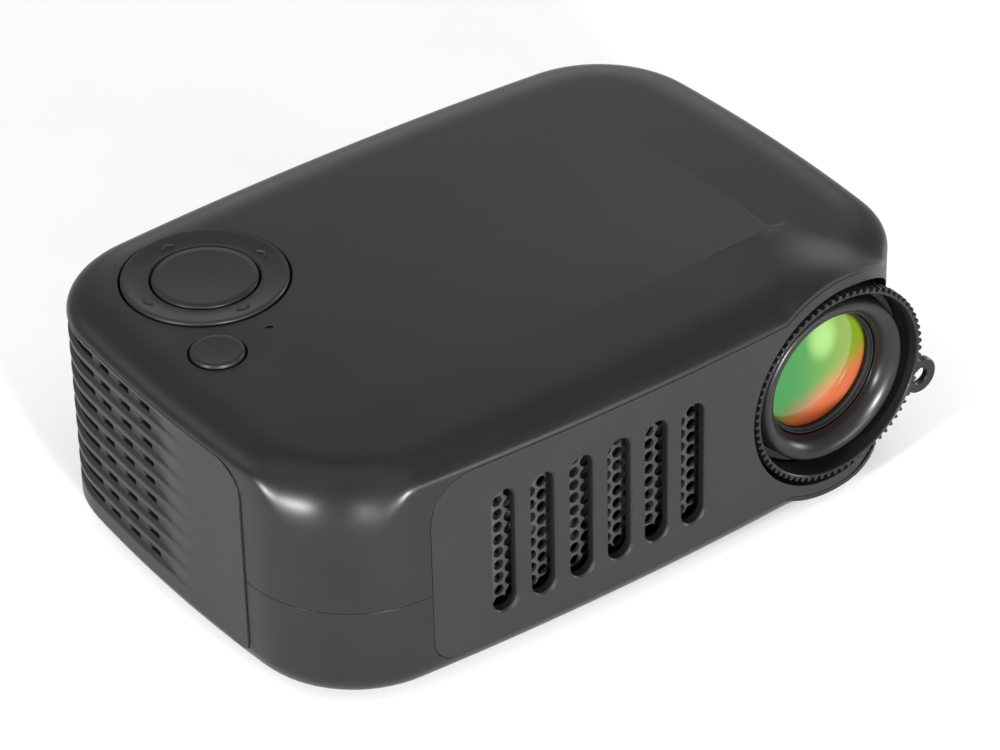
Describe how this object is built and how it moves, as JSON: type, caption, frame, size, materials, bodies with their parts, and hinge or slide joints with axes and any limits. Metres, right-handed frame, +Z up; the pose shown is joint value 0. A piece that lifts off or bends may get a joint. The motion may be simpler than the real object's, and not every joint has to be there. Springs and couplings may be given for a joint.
{
  "type": "home projector",
  "caption": "Small home projector with a slotted front panel, toothed focus ring with a finger tab, keypad on top and vented sides.",
  "frame": {"origin": "centre of the bounding box's footprint, at the bottom of the rubber feet", "axes": "-Y is the front, where the lens and the air slots are; +X is towards the lens; +Z is up; the lens axis runs along Y"},
  "size_m": [0.1258, 0.0882, 0.0435],
  "materials": {
    "case_plastic": "fine-textured satin black",
    "panel_plastic": "fine-textured satin dark grey",
    "key_plastic": "satin black",
    "dark_plastic": "matte black",
    "lens_plastic": "semi-gloss black",
    "mesh_steel": "dark painted perforated sheet",
    "clear_glass": "coated optical glass",
    "frosted_plastic": "clear moulded plastic",
    "cast_aluminium": "plain extruded",
    "circuit_board": "solder-masked glass fibre",
    "plated_steel": "plated",
    "rubber": "matte",
    "brass": "turned"
  },
  "bodies": {
    "case": {"av_socket": "dark_plastic", "bottom_shell": "case_plastic", "card_socket": "plated_steel", "case_screw_1": "plated_steel", "case_screw_2": "plated_steel", "case_screw_3": "plated_steel", "case_screw_4": "plated_steel", "condenser_lens": "clear_glass", "down_switch": "dark_plastic", "fan_frame": "dark_plastic", "fan_lead": "rubber", "foot_1": "rubber", "foot_2": "rubber", "foot_3": "rubber", "foot_4": "rubber", "front_fresnel": "frosted_plastic", "front_panel": "panel_plastic", "hdmi_socket": "plated_steel", "heat_glass": "clear_glass", "heat_sink": "cast_aluminium", "ir_window": "lens_plastic", "key_board": "circuit_board", "lcd_panel": "clear_glass", "led_lead": "rubber", "led_module": "cast_aluminium", "left_grille": "panel_plastic", "left_switch": "dark_plastic", "lens_mount": "dark_plastic", "light_box": "dark_plastic", "light_pipe": "frosted_plastic", "light_reflector": "cast_aluminium", "main_board": "circuit_board", "ok_switch": "dark_plastic", "power_inlet": "dark_plastic", "power_switch": "dark_plastic", "rear_fresnel": "frosted_plastic", "rear_panel": "panel_plastic", "right_grille": "panel_plastic", "right_switch": "dark_plastic", "speaker": "dark_plastic", "speaker_lead": "rubber", "top_shell": "case_plastic", "tripod_insert": "brass", "up_switch": "dark_plastic", "usb_socket": "plated_steel", "vent_mesh": "mesh_steel"},
    "focus": {"focus_ring": "lens_plastic"},
    "lens": {"lens_barrel": "lens_plastic", "lens_retainer": "dark_plastic", "front_lens": "clear_glass", "rear_lens": "clear_glass"},
    "pad_carrier": {"nav_carrier": "rubber"},
    "pad": {"nav_ring": "key_plastic"},
    "ok_key": {"ok_button": "key_plastic"},
    "power_key": {"power_button": "key_plastic"},
    "fan": {"fan_rotor": "dark_plastic"}
  },
  "joints": [
    {"name": "focus_turn", "type": "hinge", "parent": "case", "child": "focus", "pos_m": [0.04095, -0.0432, 0.023], "axis": [0, -1, 0], "range_deg": [-15, 55]},
    {"name": "lens_travel", "type": "slide", "parent": "case", "child": "lens", "axis": [0, -1, 0], "range_m": [-0.0005, 0.0018]},
    {"name": "pad_tilt_x", "type": "hinge", "parent": "case", "child": "pad_carrier", "pos_m": [-0.0387, 0.0226, 0.0413], "axis": [1, 0, 0], "range_deg": [-1.5, 1.5], "stiffness_Nm_per_rad": 0.05},
    {"name": "pad_tilt_y", "type": "hinge", "parent": "pad_carrier", "child": "pad", "pos_m": [-0.0387, 0.0226, 0.0413], "axis": [0, 1, 0], "range_deg": [-1.5, 1.5], "stiffness_Nm_per_rad": 0.05},
    {"name": "ok_press", "type": "slide", "parent": "case", "child": "ok_key", "axis": [0, 0, -1], "range_m": [0, 0.0005], "stiffness_N_per_m": 300, "springref_m": -0.0002},
    {"name": "power_press", "type": "slide", "parent": "case", "child": "power_key", "axis": [0, 0, -1], "range_m": [0, 0.0005], "stiffness_N_per_m": 300, "springref_m": -0.0002},
    {"name": "fan_spin", "type": "hinge", "parent": "case", "child": "fan", "pos_m": [-0.009, -0.03, 0.02225], "axis": [0, 1, 0], "continuous": true}
  ],
  "couplings": [
    {"joint": "lens_travel", "follows": "focus_turn", "m_per_rad": 0.0018}
  ]
}
